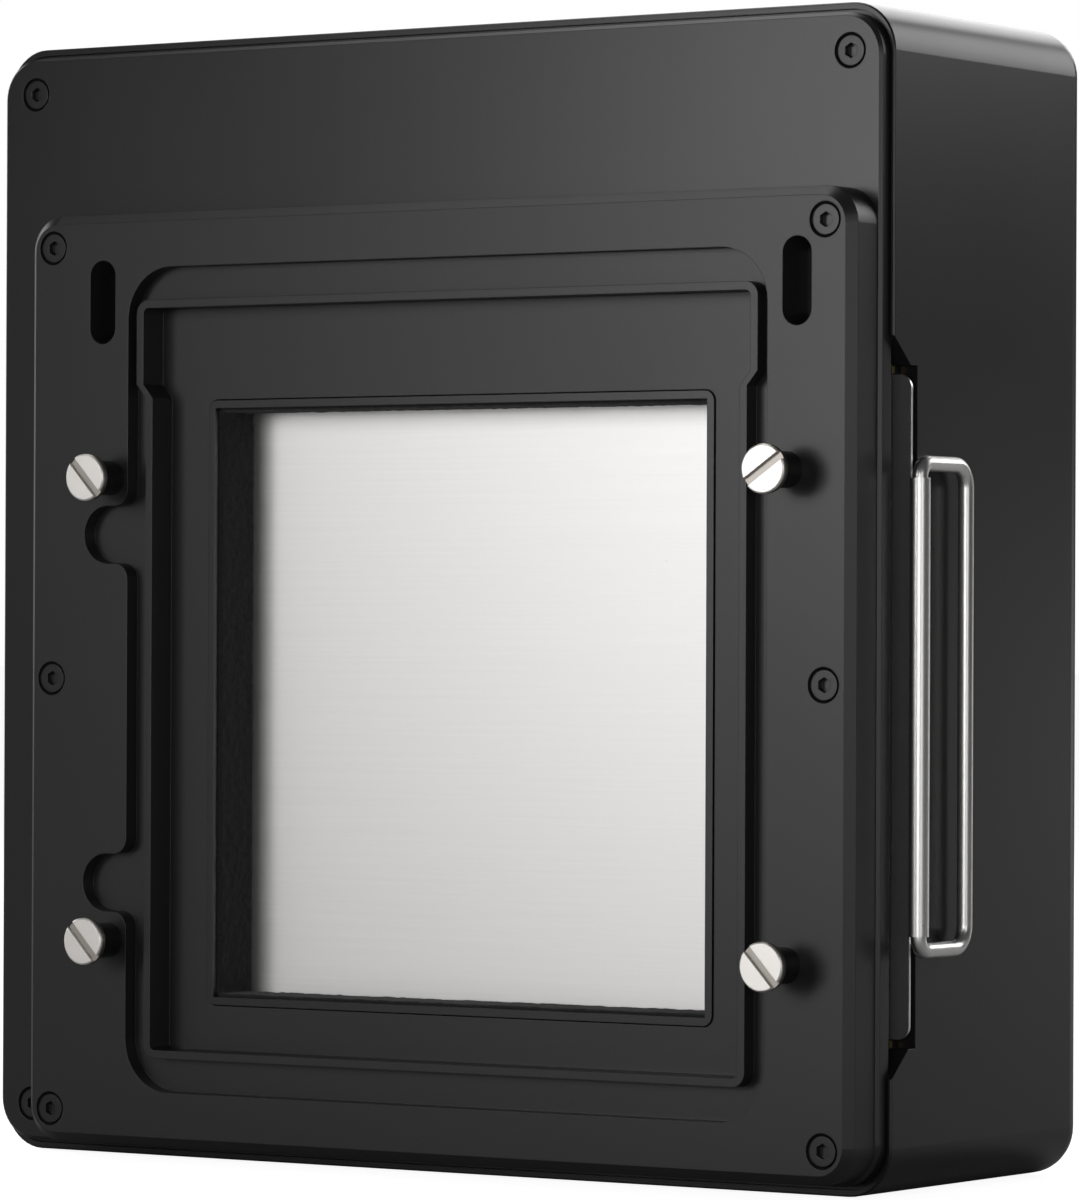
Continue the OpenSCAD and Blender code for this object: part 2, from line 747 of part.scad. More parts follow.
module pack_cover() color([0.14, 0.14, 0.14]) place() translate([lens_x, 0, pack_z])
    slab(cover_y, cover_y + pack_wall)
        square([pack_w - 2 * pack_wall - 0.1, pack_h - 2 * pack_wall - 0.1], center = true);

// A bowed leaf between the depths y0 and y1, drawn as two arcs of one circle.
module leaf(chord, y0, y1, width) {
    rise = y1 - y0;
    big_r = (chord * chord / 4 + rise * rise) / (2 * rise);
    linear_extrude(width, center = true)
        intersection() {
            translate([0, y0 + big_r])
                difference() {
                    circle(big_r, $fn = 128);
                    circle(big_r - leaf_t, $fn = 128);
                }
            translate([-chord / 2, y0 - eps])
                square([chord, rise]);
        }
}

// The bowed plate that presses the sheets forward.
module pack_spring() color([0.7, 0.7, 0.7]) place() translate([lens_x, 0, pack_z])
    leaf(66, spring_y, cover_y, 60);

module film_sheets() color([0.25, 0.23, 0.24]) place() translate([lens_x, 0, pack_z])
    slab(sheets_y, spring_y)
        square([pack_w - 2 * pack_wall - 0.6, pack_h - 2 * pack_wall - 0.6], center = true);

// The rear door with its hinge barrel, magnet pockets and a hollow for a fingertip.
module rear_door() color([0.09, 0.09, 0.09]) place() translate([0, 0, mid_z]) difference() {
    union() {
        translate([(door_x0 + door_x1) / 2, 0, 0])
            slab(door_y, back_y)
                square([door_x1 - door_x0, door_h], center = true);
        translate([hinge_x, hinge_y, 0])
            cylinder(h = opening_h - 2 * shell_knuckle - 2 * knuckle_gap, r = hinge_r, center = true);
        translate([hinge_x, door_y + 0.3, -opening_h / 2 + shell_knuckle + knuckle_gap])
            cube([hinge_r + door_gap + 0.5, door_t - 0.3, opening_h - 2 * shell_knuckle - 2 * knuckle_gap]);
    }
    translate([hinge_x, hinge_y, 0])
        cylinder(h = opening_h, r = pin_d / 2 + run_fit, center = true);
    for (z = magnet_z)
        translate([magnet_x, 0, z - mid_z])
            bar(magnet_r + seat_fit, door_y - eps, door_y + magnet_t);
    translate([door_x1 + 2, 0, 0])
        bar(8, back_y - 1.2, back_y + eps);
    rivet_places()
        bar(0.8 + screw_fit, door_y - eps, door_y + 1.5);
}

module hinge_pin() color([0.7, 0.7, 0.7]) place() translate([hinge_x, hinge_y, mid_z])
    cylinder(h = opening_h - 0.4, r = pin_d / 2, center = true);

// The foam frame on the ledge.
module door_seal() color([0.05, 0.05, 0.05]) place() translate([(door_x0 + door_x1) / 2, 0, mid_z])
    slab(ledge_y + ledge_t, door_y - 0.1)
        difference() {
            square([door_x1 - door_x0 - 9.4, door_h - 0.6], center = true);
            square([door_x1 - door_x0 - 2 * ledge_reach - 4, door_h - 2 * ledge_reach], center = true);
        }

module rivet_places() for (z = door_leaf_z)
    for (s = [-1, 1])
        translate([lens_x + s * 27, 0, z - mid_z])
            children();

// Two bowed leaves on the door that press the pack against the gate.
module door_springs() color([0.7, 0.7, 0.7]) place()
    for (z = door_leaf_z)
        translate([lens_x, 0, z]) {
            leaf(48, pack_y + pack_t + 0.1, door_y, 10);
            for (s = [-1, 1])
                difference() {
                    translate([s * 27, door_y - leaf_t / 2, 0])
                        cube([8, leaf_t, 10], center = true);
                    translate([s * 27, 0, 0])
                        bar(0.8 + screw_fit, door_y - leaf_t - eps, door_y + eps);
                }
        }

module spring_rivets() color([0.7, 0.7, 0.7]) place() translate([0, 0, mid_z]) rivet_places() {
    bar(0.8, door_y - leaf_t, door_y + 1.4);
    bar(1.5, door_y - leaf_t - 0.5, door_y - leaf_t);
}

module door_magnets() color([0.75, 0.75, 0.75]) place()
    for (z = magnet_z)
        translate([magnet_x, 0, z])
            bar(magnet_r, door_y, door_y + magnet_t);

module strike_discs() color([0.6, 0.6, 0.6]) place()
    for (z = magnet_z)
        translate([magnet_x, 0, z])
            bar(magnet_r, ledge_y + ledge_t - 0.8, door_y - 0.1);

rear_shell();
front_plate();
adapter_plate();
stud_posts();
stud_screws();
adapter_screws();
corner_screws();
light_trap_frame();
window_velvet();
guide_plate();
slide_rails();
slot_velvet();
film_gate();
guide_screws();
dark_slide();
slide_handle();
pack_cradle();
cradle_screws();
pack_case();
pack_cover();
pack_spring();
film_sheets();
rear_door();
hinge_pin();
door_seal();
door_springs();
spring_rivets();
door_magnets();
strike_discs();
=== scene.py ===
import math

import bpy
import numpy as np
from mathutils import Matrix, Vector


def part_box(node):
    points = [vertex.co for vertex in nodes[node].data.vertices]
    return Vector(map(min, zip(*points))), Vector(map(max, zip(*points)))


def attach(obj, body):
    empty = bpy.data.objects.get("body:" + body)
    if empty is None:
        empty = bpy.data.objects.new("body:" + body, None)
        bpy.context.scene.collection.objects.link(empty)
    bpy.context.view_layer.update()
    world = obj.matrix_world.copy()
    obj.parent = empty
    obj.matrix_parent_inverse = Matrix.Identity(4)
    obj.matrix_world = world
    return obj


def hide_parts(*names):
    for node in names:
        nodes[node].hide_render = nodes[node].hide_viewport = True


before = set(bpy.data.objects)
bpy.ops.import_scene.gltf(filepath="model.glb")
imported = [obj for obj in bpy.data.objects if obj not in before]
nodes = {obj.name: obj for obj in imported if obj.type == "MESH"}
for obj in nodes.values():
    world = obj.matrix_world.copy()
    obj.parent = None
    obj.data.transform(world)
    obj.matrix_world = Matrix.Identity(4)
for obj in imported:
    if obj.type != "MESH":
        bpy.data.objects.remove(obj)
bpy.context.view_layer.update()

# Camera. A long lens a third of the way round to the slide's side and level
# with the middle of the holder, so that upright edges stay upright.
lens_mm = 213.8
sensor_mm = 36
stand = Vector((0.38197, -0.56709, 0.05631))
yaw, pitch, roll = (math.radians(a) for a in (33.75, 0.31, 0.24))
forward = math.cos(pitch)
ahead = Vector((-math.sin(yaw) * forward, math.cos(yaw) * forward, math.sin(pitch)))
level = Vector((math.cos(yaw), math.sin(yaw), 0))
over = level.cross(ahead)
across = level * math.cos(roll) + over * math.sin(roll)
upward = over * math.cos(roll) - level * math.sin(roll)
camera_data = bpy.data.cameras.new("camera")
camera_data.lens = lens_mm
camera_data.sensor_width = sensor_mm
camera_data.sensor_fit = "HORIZONTAL"
camera_data.clip_end = 20
camera = bpy.data.objects.new("camera", camera_data)
bpy.context.scene.collection.objects.link(camera)
turn = Matrix((across, upward, -ahead)).transposed().to_4x4()
camera.matrix_world = Matrix.Translation(stand) @ turn
bpy.context.scene.camera = camera
bpy.context.scene.view_settings.view_transform = "Standard"

# Studio. A pale card under and behind the holder, and soft boxes round it:
# two in front for the faces, two for edges and chamfers, one above, and the
# rest behind and at the left for the other sides.


def add(tree, kind, inputs=(), **options):
    """Adds a shader node. inputs pairs a socket's name or number with a value,
    or with a socket to link from."""
    node = tree.nodes.new(kind)
    for name, value in options.items():
        setattr(node, name, value)
    for key, value in dict(inputs).items():
        if isinstance(value, bpy.types.NodeSocket):
            tree.links.new(value, node.inputs[key])
        else:
            node.inputs[key].default_value = value
    return node


world = bpy.data.worlds.new("studio")
bpy.context.scene.world = world
world.use_nodes = True
wt = world.node_tree
wt.nodes.clear()
seen = add(wt, "ShaderNodeBackground", {"Color": (1, 1, 1, 1), "Strength": 1.0})
dim = add(wt, "ShaderNodeBackground", {"Color": (1, 1, 1, 1), "Strength": 0.05})
ray = add(wt, "ShaderNodeLightPath")
by_eye = ray.outputs["Is Camera Ray"]
pick = add(wt, "ShaderNodeMixShader", {0: by_eye, 1: dim.outputs[0], 2: seen.outputs[0]})
add(wt, "ShaderNodeOutputWorld", {"Surface": pick.outputs[0]})


def studio_floor(half, z):
    """A flat square of card under the holder: x and y run from -half to half at height z."""
    mesh = bpy.data.meshes.new("floor")
    corners = [(-half, -half, z), (half, -half, z), (half, half, z), (-half, half, z)]
    mesh.from_pydata(corners, [], [(0, 1, 2, 3)])
    card = bpy.data.materials.new("card")
    card.use_nodes = True
    t = card.node_tree
    t.nodes.clear()
    path = add(t, "ShaderNodeLightPath")
    lit = add(t, "ShaderNodeBsdfDiffuse", {"Color": (0.4, 0.4, 0.4, 1)})
    glow = add(t, "ShaderNodeEmission", {"Strength": 0.93})
    both = add(t, "ShaderNodeAddShader", {0: lit.outputs[0], 1: glow.outputs[0]})
    by_eye = path.outputs["Is Camera Ray"]
    mix = add(t, "ShaderNodeMixShader", {0: by_eye, 1: lit.outputs[0], 2: both.outputs[0]})
    add(t, "ShaderNodeOutputMaterial", {"Surface": mix.outputs[0]})
    mesh.materials.append(card)
    floor = bpy.data.objects.new("floor", mesh)
    bpy.context.scene.collection.objects.link(floor)


studio_floor(half=8, z=-0.0002)
holder_middle = Vector((0, 0, 0.06))


def soft_box(name, azimuth, elevation, away, width, height, watts):
    """A rectangular lamp on a sphere round the holder's middle, facing it.
    Azimuth 0 is in front (-Y), 90 is +X."""
    lamp = bpy.data.lights.new(name, "AREA")
    lamp.shape = "RECTANGLE"
    lamp.size, lamp.size_y, lamp.energy = width, height, watts
    box = bpy.data.objects.new(name, lamp)
    a, e = math.radians(azimuth), math.radians(elevation)
    out = Vector((math.sin(a) * math.cos(e), -math.cos(a) * math.cos(e), math.sin(e)))
    place = Matrix.Translation(holder_middle + out * away)
    box.matrix_world = place @ out.to_track_quat("Z", "Y").to_matrix().to_4x4()
    bpy.context.scene.collection.objects.link(box)


soft_box("box_front_high", -17, 12, 0.55, 0.2, 0.2, 0.58)
soft_box("box_front_low", -20, -3, 0.7, 0.3, 0.3, 0.5)
soft_box("box_edge", 25, 0, 0.6, 0.2, 0.3, 0.66)
soft_box("box_chamfer", 58, 2, 0.7, 0.22, 0.4, 0.5)
soft_box("box_behind_right", 152, 24, 0.7, 0.3, 0.3, 0.85)
soft_box("box_behind_low", 160, -8, 0.9, 0.3, 0.3, 0.35)
soft_box("box_above", -120, 70, 1.0, 0.5, 0.5, 2.4)
soft_box("box_back", -162, 34, 0.9, 0.6, 0.6, 3.0)
soft_box("box_left", -98, 14, 0.9, 0.5, 0.5, 1.8)


# Rear shell. A deep box, taken to be metal, with every outer edge rounded and
# a deep satin black coat; the front plate sits inside its rim and the door in
# its back.


def new_group(name, inputs, outputs):
    """An empty node group with the named sockets. Each input is (name, kind, value).
    Returns the tree and its input and output nodes."""
    g = bpy.data.node_groups.new(name, "ShaderNodeTree")
    for label, kind, value in inputs:
        socket = g.interface.new_socket(name=label, in_out="INPUT", socket_type="NodeSocket" + kind)
        if value is not None:
            socket.default_value = value
    for label, kind in outputs:
        g.interface.new_socket(name=label, in_out="OUTPUT", socket_type="NodeSocket" + kind)
    return g, g.nodes.new("NodeGroupInput"), g.nodes.new("NodeGroupOutput")


finish_outputs = (("Colour", "Color"), ("Roughness", "Float"), ("Normal", "Vector"))


def reckon(g, operation, *terms):
    """A Math node on the given terms, each a number or a socket."""
    return add(g, "ShaderNodeMath", enumerate(terms), operation=operation)


def shaded(g, colour, factor):
    """A colour times the grey of another node."""
    inputs = {0: 1.0, 6: colour, 7: factor.outputs[0]}
    return add(g, "ShaderNodeMix", inputs, data_type="RGBA", blend_type="MULTIPLY")


def noise(g, coords, scale, detail, **more):
    """A Noise Texture's value over three-dimensional coordinates."""
    inputs = {"Vector": coords, "Scale": scale, "Detail": detail} | more
    return add(g, "ShaderNodeTexNoise", inputs)


def relief(g, strength, depth, height, edge):
    """A Bump node over the bevelled normal. depth is the full height of its marks."""
    inputs = {"Strength": strength, "Distance": depth, "Height": height, "Normal": edge}
    return add(g, "ShaderNodeBump", inputs)


def closed_group(g, out, tint, rough, bump):
    """Links a group's colour, roughness and normal to its output node and returns it."""
    g.links.new(tint.outputs[2], out.inputs["Colour"])
    g.links.new(rough.outputs[0], out.inputs["Roughness"])
    g.links.new(bump.outputs[0], out.inputs["Normal"])
    return g


def anodising():
    """Node group: dyed or coated metal. Roughness = Gloss + Clouds * (broad noise - 0.5);
    colour = dye * (0.75 + fine noise / 2)."""
    g, given, out = new_group(
        "anodising",
        (
            ("Coords", "Vector", None),
            ("Edge", "Vector", None),
            ("Colour", "Color", (0.02, 0.02, 0.02, 1)),
            ("Gloss", "Float", 0.4),
            ("Grain", "Float", 1.0),
            ("Fineness", "Float", 5200),
            ("Clouds", "Float", 0.1),
        ),
        finish_outputs,
    )
    take = given.outputs
    cloud = noise(g, take["Coords"], 38, 5)
    grain = noise(g, take["Coords"], take["Fineness"], 2)
    centred = reckon(g, "SUBTRACT", cloud.outputs["Fac"], 0.5)
    sway = reckon(g, "MULTIPLY_ADD", centred.outputs[0], take["Clouds"], take["Gloss"])
    speck = reckon(g, "MULTIPLY_ADD", grain.outputs["Fac"], 0.5, 0.75)
    tint = shaded(g, take["Colour"], speck)
    bump = relief(g, take["Grain"], 0.00001, grain.outputs["Fac"], take["Edge"])
    return closed_group(g, out, tint, sway, bump)


anodised_group = anodising()
broken_edge = 0.00012


def grouped(name, group, edge, values, coords=None):
    """A finished material: the group's colour, roughness and normal go into a Principled
    shader. edge is the radius that broken edges catch light over."""
    m = bpy.data.materials.new(name)
    m.use_nodes = True
    t = m.node_tree
    shade = t.nodes["Principled BSDF"]
    place = add(t, "ShaderNodeTexCoord").outputs["Object"]
    if coords:
        place = add(t, "ShaderNodeMapping", {"Vector": place, "Scale": coords}).outputs[0]
    broken = add(t, "ShaderNodeBevel", {"Radius": edge}, samples=4)
    g = add(t, "ShaderNodeGroup", node_tree=group)
    t.links.new(place, g.inputs["Coords"])
    t.links.new(broken.outputs[0], g.inputs["Edge"])
    for key, value in values.items():
        g.inputs[key].default_value = value
    t.links.new(g.outputs["Colour"], shade.inputs["Base Color"])
    t.links.new(g.outputs["Roughness"], shade.inputs["Roughness"])
    t.links.new(g.outputs["Normal"], shade.inputs["Normal"])
    return m


def anodised(name, shade, gloss, grain, clouds, fineness=5200):
    """An anodised or coated finish of one grey, on broken edges of an eighth of a millimetre."""
    values = {
        "Colour": (shade, shade, shade * 1.03, 1),
        "Gloss": gloss,
        "Grain": grain,
        "Clouds": clouds,
        "Fineness": fineness,
    }
    return grouped(name, anodised_group, broken_edge, values)


def finish(node, material):
    """Gives a CAD node its finish on every slot of its object."""
    o = nodes[node]
    if not o.material_slots:
        o.data.materials.append(material)
    for slot in o.material_slots:
        slot.material = material


finish("rear_shell", anodised("shell_black", 0.010, 0.30, 0.25, 0.06))

# Front plate. A flat plate with a broken edge, blasted and coated. Three
# countersunk screws of its own and the adapter's long one hold it to the shell.
finish("front_plate", anodised("plate_black", 0.014, 0.30, 0.4, 0.06))

# Adapter plate. Milled from thick plate, chamfered, blasted finely and coated;
# it carries the recess, the raised rim and the two slots.
finish("adapter_plate", anodised("adapter_black", 0.014, 0.35, 0.4, 0.06))

# Light-trap frame. A thin milled tube set into the window, with the same
# coat as the plates, that shades the film from light off the camera's side.
finish("light_trap_frame", anodised("frame_black", 0.014, 0.32, 0.4, 0.06))

# Guide plate and film gate. Flat inner plates with a dull black coat that
# keeps stray light down; long countersunk screws clamp them together.
inner_black = anodised("inner_black", 0.012, 0.6, 0.8, 0.1, 3800)
for piece in ("guide_plate", "film_gate"):
    finish(piece, inner_black)

# Black screws. Countersunk hexagon-socket screws, black oxide on steel, a
# little darker and glossier than the plates round them.
oxide_black = anodised("oxide_black", 0.011, 0.32, 0.6, 0.16, 9000)
for piece in ("adapter_screws", "corner_screws", "guide_screws"):
    finish(piece, oxide_black)

# Stud posts. Turned steel sleeves with black oxide on them, clamped to the
# adapter by the bright screws and entering the camera's holes.
finish("stud_posts", anodised("post_black", 0.008, 0.34, 0.6, 0.1, 9000))

# Stud screws. Nickel-plated steel with turned faces. The four stand at the
# corners of an 85 by 49.5 mm rectangle, so their marks fold onto one head.


def vectors(g, operation, *terms):
    """A Vector Math node on the given terms, each a vector or a socket."""
    return add(g, "ShaderNodeVectorMath", enumerate(terms), operation=operation)


def line_noise(g, run, scale, detail):
    """A Noise Texture's value along one number."""
    inputs = {"W": run, "Scale": scale, "Detail": detail}
    return add(g, "ShaderNodeTexNoise", inputs, noise_dimensions="1D")


def ramp(tree, value, start, end):
    """Maps a value from the first pair of limits to the second, and holds it there."""
    inputs = {0: value, 1: start[0], 2: start[1], 3: end[0], 4: end[1]}
    return add(tree, "ShaderNodeMapRange", inputs)


def turned_head():
    """Node group: a lathe's rings. X and Z fold onto one head's middle, and thin noise
    runs with the distance from it. From 0.28 to 0.5 mm behind Face the colour turns to
    Floor, a painted shade on metal sunk below the turned face."""
    g, given, out = new_group(
        "turned_head",
        (
            ("Coords", "Vector", None),
            ("Edge", "Vector", None),
            ("Colour", "Color", (0.8, 0.8, 0.8, 1)),
            ("Floor", "Color", (0.2, 0.2, 0.2, 1)),
            ("Gloss", "Float", 0.25),
            ("Middle", "Vector", None),
            ("Half", "Vector", None),
            ("Face", "Float", 0.0),
        ),
        finish_outputs,
    )
    take = given.outputs
    from_middle = vectors(g, "SUBTRACT", take["Coords"], take["Middle"])
    folded = vectors(g, "ABSOLUTE", from_middle.outputs[0])
    centred = vectors(g, "SUBTRACT", folded.outputs[0], take["Half"])
    flat = vectors(g, "MULTIPLY", centred.outputs[0], (1, 0, 1))
    away = vectors(g, "LENGTH", flat.outputs[0])
    ring = line_noise(g, away.outputs["Value"], 17000, 2)
    mark = noise(g, take["Coords"], 9000, 3)
    both = reckon(g, "MULTIPLY", ring.outputs["Fac"], mark.outputs["Fac"])
    rough = reckon(g, "MULTIPLY_ADD", both.outputs[0], 0.3, take["Gloss"])
    # Painted shade: metal sunk 0.28 to 0.5 mm behind Face darkens to the Floor colour.
    part = add(g, "ShaderNodeSeparateXYZ", {0: take["Coords"]})
    sunk = reckon(g, "SUBTRACT", part.outputs["Y"], take["Face"])
    low = ramp(g, sunk.outputs[0], (0.00028, 0.0005), (0.0, 1.0))
    mixed = {0: low.outputs[0], 6: take["Colour"], 7: take["Floor"]}
    sunk_shade = add(g, "ShaderNodeMix", mixed, data_type="RGBA")
    shade = reckon(g, "MULTIPLY_ADD", both.outputs[0], 0.3, 0.92)
    tint = shaded(g, sunk_shade.outputs[2], shade)
    bump = relief(g, 0.15, 0.000003, both.outputs[0], take["Edge"])
    return closed_group(g, out, tint, rough, bump)


stud_low, stud_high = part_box("stud_screws")
stud_middle = [(a + b) / 2 for a, b in zip(stud_low, stud_high)]
stud_half_x, stud_half_z = 0.0425, 0.02475
nickel_values = {
    "Colour": (0.93, 0.90, 0.86, 1),
    # Floor is the painted shade of metal sunk below the heads' turned faces.
    "Floor": (0.30, 0.27, 0.24, 1),
    "Gloss": 0.34,
    "Middle": (stud_middle[0], 0, stud_middle[2]),
    "Half": (stud_half_x, 0, stud_half_z),
    "Face": stud_low[1],
}
nickel = grouped("nickel", turned_head(), 0.0001, nickel_values)
nickel.node_tree.nodes["Principled BSDF"].inputs["Metallic"].default_value = 1
finish("stud_screws", nickel)

# Dark slide. Stainless sheet 0.3 mm thick, brushed from end to end, its outer
# end rolled into a tube and burnished by the rolling.


def brushing():
    """Node group: drawn or brushed bright metal. Long noise runs along the stretched
    coordinates, and Specks leaves a few small dark spots."""
    g, given, out = new_group(
        "brushing",
        (
            ("Coords", "Vector", None),
            ("Place", "Vector", None),
            ("Edge", "Vector", None),
            ("Colour", "Color", (0.8, 0.8, 0.8, 1)),
            ("Gloss", "Float", 0.3),
            ("Streaks", "Float", 0.1),
            ("Specks", "Float", 0.0),
        ),
        finish_outputs,
    )
    take = given.outputs
    streak = noise(g, take["Coords"], 1, 4, Roughness=0.6)
    centred = reckon(g, "SUBTRACT", streak.outputs["Fac"], 0.5)
    rough = reckon(g, "MULTIPLY_ADD", centred.outputs[0], take["Streaks"], take["Gloss"])
    shade = reckon(g, "MULTIPLY_ADD", centred.outputs[0], take["Streaks"], 1.0)
    cell = add(g, "ShaderNodeTexVoronoi", {"Vector": take["Place"], "Scale": 150})
    kept = add(g, "ShaderNodeSeparateColor", {0: cell.outputs["Color"]})
    some = reckon(g, "GREATER_THAN", kept.outputs[0], 0.55)
    spot = ramp(g, cell.outputs["Distance"], (0.008, 0.022), (1.0, 0.0))
    dots = reckon(g, "MULTIPLY", some.outputs[0], spot.outputs[0])
    weak = reckon(g, "MULTIPLY", dots.outputs[0], take["Specks"])
    clear = reckon(g, "SUBTRACT", shade.outputs[0], weak.outputs[0])
    tint = shaded(g, take["Colour"], clear)
    bump = relief(g, take["Streaks"], 0.000006, streak.outputs["Fac"], take["Edge"])
    return closed_group(g, out, tint, rough, bump)


brushed_group = brushing()


def node_of(tree, kind):
    """The first node of a kind in a material."""
    return [n for n in tree.nodes if n.type == kind][0]


def bright(name, colour, gloss, streaks, stretch, specks=0.0, edge=0.00005):
    """A bright metal finish. stretch is how many marks a metre holds along each axis."""
    values = {"Colour": (*colour, 1), "Gloss": gloss, "Streaks": streaks, "Specks": specks}
    m = grouped(name, brushed_group, edge, values, stretch)
    t = m.node_tree
    t.nodes["Principled BSDF"].inputs["Metallic"].default_value = 1
    t.links.new(node_of(t, "TEX_COORD").outputs["Object"], node_of(t, "GROUP").inputs["Place"])
    return m


steel_sheet = bright("steel_sheet", (0.88, 0.87, 0.86), 0.46, 0.09, (40, 400, 3600), 0.4)
st = steel_sheet.node_tree
st_part = add(st, "ShaderNodeSeparateXYZ", {0: node_of(st, "TEX_COORD").outputs["Object"]})
slide_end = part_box("dark_slide")[1][0]
roll_start = (slide_end - 0.0052, slide_end - 0.0042)
rolled = ramp(st, st_part.outputs["X"], roll_start, (0.0, 0.12))
burnished = reckon(st, "SUBTRACT", node_of(st, "GROUP").outputs["Roughness"], rolled.outputs[0])
st.links.new(burnished.outputs[0], st.nodes["Principled BSDF"].inputs["Roughness"])
finish("dark_slide", steel_sheet)

# Slide handle. Bright drawn steel wire 1.6 mm thick, bent into a loop; the
# straightening left its surface faintly wavy along its length.
finish("slide_handle", bright("drawn_wire", (0.80, 0.79, 0.78), 0.33, 0.12, (700, 700, 130), 0.15))

# Slide rails. Flat brass strips beside the slide, clamped between the guide
# plate and the gate, and rubbed bright where the sheet runs on them.
finish("slide_rails", bright("brass_strip", (0.62, 0.47, 0.22), 0.32, 0.2, (60, 2500, 2500), 0.2))

# Film pack. A moulded case with a sparked surface, a dark card cover, the
# stack of sheets and the leaf spring behind them.
finish("pack_case", anodised("moulded_black", 0.018, 0.48, 1.4, 0.1, 2200))


def laying():
    """Node group: paper or film in layers. Thin lines run with Y, one to a sheet, over
    a mottle of fibres."""
    g, given, out = new_group(
        "laying",
        (
            ("Coords", "Vector", None),
            ("Edge", "Vector", None),
            ("Colour", "Color", (0.1, 0.1, 0.1, 1)),
            ("Gloss", "Float", 0.5),
            ("Sheets", "Float", 4000),
            ("Fibres", "Float", 0.3),
        ),
        finish_outputs,
    )
    take = given.outputs
    part = add(g, "ShaderNodeSeparateXYZ", {0: take["Coords"]})
    run = reckon(g, "MULTIPLY", part.outputs["Y"], take["Sheets"])
    line = line_noise(g, run.outputs[0], 1, 1)
    fibre = noise(g, take["Coords"], 1800, 4, Distortion=0.6)
    both = reckon(g, "ADD", line.outputs["Fac"], fibre.outputs["Fac"])
    shade = reckon(g, "MULTIPLY_ADD", both.outputs[0], take["Fibres"], 0.7)
    rough = reckon(g, "MULTIPLY_ADD", fibre.outputs["Fac"], 0.15, take["Gloss"])
    tint = shaded(g, take["Colour"], shade)
    bump = relief(g, 0.4, 0.00002, both.outputs[0], take["Edge"])
    return closed_group(g, out, tint, rough, bump)


layer_group = laying()
card_values = {"Colour": (0.030, 0.029, 0.028, 1), "Gloss": 0.62, "Sheets": 3000.0, "Fibres": 0.5}
finish("pack_cover", grouped("dark_card", layer_group, 0.00005, card_values))
film_values = {"Colour": (0.10, 0.105, 0.11, 1), "Gloss": 0.22, "Sheets": 5500.0, "Fibres": 0.3}
finish("film_sheets", grouped("film", layer_group, 0.00003, film_values))
spring_steel = bright("spring_steel", (0.46, 0.47, 0.49), 0.3, 0.2, (60, 2500, 2500), 0.1)
finish("pack_spring", spring_steel)

# Pack cradle. A moulded frame on the gate, held by four small steel screws,
# that places the pack.
finish("pack_cradle", anodised("cradle_black", 0.02, 0.5, 1.2, 0.1, 2600))
plain_steel = bright("plain_steel", (0.55, 0.55, 0.55), 0.3, 0.15, (2200, 2200, 2200), 0.2)
finish("cradle_screws", plain_steel)

# Rear door. A flat coated plate on a steel pin along the side away from the
# slide, with two riveted leaf springs and two magnets that meet the shell's
# discs.
finish("rear_door", anodised("door_black", 0.012, 0.36, 0.3, 0.06))
finish("hinge_pin", plain_steel)
finish("door_springs", spring_steel)
finish("spring_rivets", plain_steel)
magnet_nickel = bright("magnet_nickel", (0.66, 0.64, 0.60), 0.18, 0.1, (3000, 3000, 3000), 0.3)
finish("door_magnets", magnet_nickel)
finish("strike_discs", plain_steel)

# Window velvet. Black cotton velvet glued round the inside of the light trap.
# Its pile stands a third of a millimetre high and lies in small clumps.


def lattice_noise(points, seed):
    """Smooth noise from 0 to 1. Each whole-number corner round a point has a fixed hash,
    and the eight mix by 3t^2 - 2t^3 on each axis."""
    base = np.floor(points)
    part = points - base
    weight = part * part * (3 - 2 * part)
    total = np.zeros(points.shape[:-1])
    for corner in np.ndindex(2, 2, 2):
        q = np.sin((base + corner) @ np.array((127.1, 311.7, 74.7)) + seed) * 43758.5453
        share = np.prod(np.where(np.array(corner) == 1, weight, 1 - weight), axis=-1)
        total += (q - np.floor(q)) * share
    return total


def clumps(points, size, seed):
    """Three octaves of lattice noise about zero, from -0.5 to 0.5. size is the largest
    clump's width, and 1.75 is the sum of the octaves' heights."""
    total = sum(lattice_noise(points / size * 2**k, seed + k) / 2**k for k in range(3))
    return total / 1.75 - 0.5


def rounded_loop(half_width, half_height, radius, count):
    """Points at even steps round a rounded rectangle in X and Z, and their outward
    normals: four quarter circles joined by straight lines."""
    angles = (np.arange(4)[:, None] * 90 + np.linspace(0, 90, 9)[None, :]) * math.pi / 180
    sign_x = np.array((1, -1, -1, 1))[:, None]
    sign_z = np.array((1, 1, -1, -1))[:, None]
    x = (sign_x * (half_width - radius) + radius * np.cos(angles)).ravel()
    z = (sign_z * (half_height - radius) + radius * np.sin(angles)).ravel()
    x, z = np.append(x, x[0]), np.append(z, z[0])
    run = np.concatenate(([0], np.cumsum(np.hypot(np.diff(x), np.diff(z)))))
    steps = np.arange(count) / count * run[-1]
    px, pz = np.interp(steps, run, x), np.interp(steps, run, z)
    tx, tz = np.roll(px, -1) - np.roll(px, 1), np.roll(pz, -1) - np.roll(pz, 1)
    size = np.hypot(tx, tz)
    return px, pz, tz / size, -tx / size


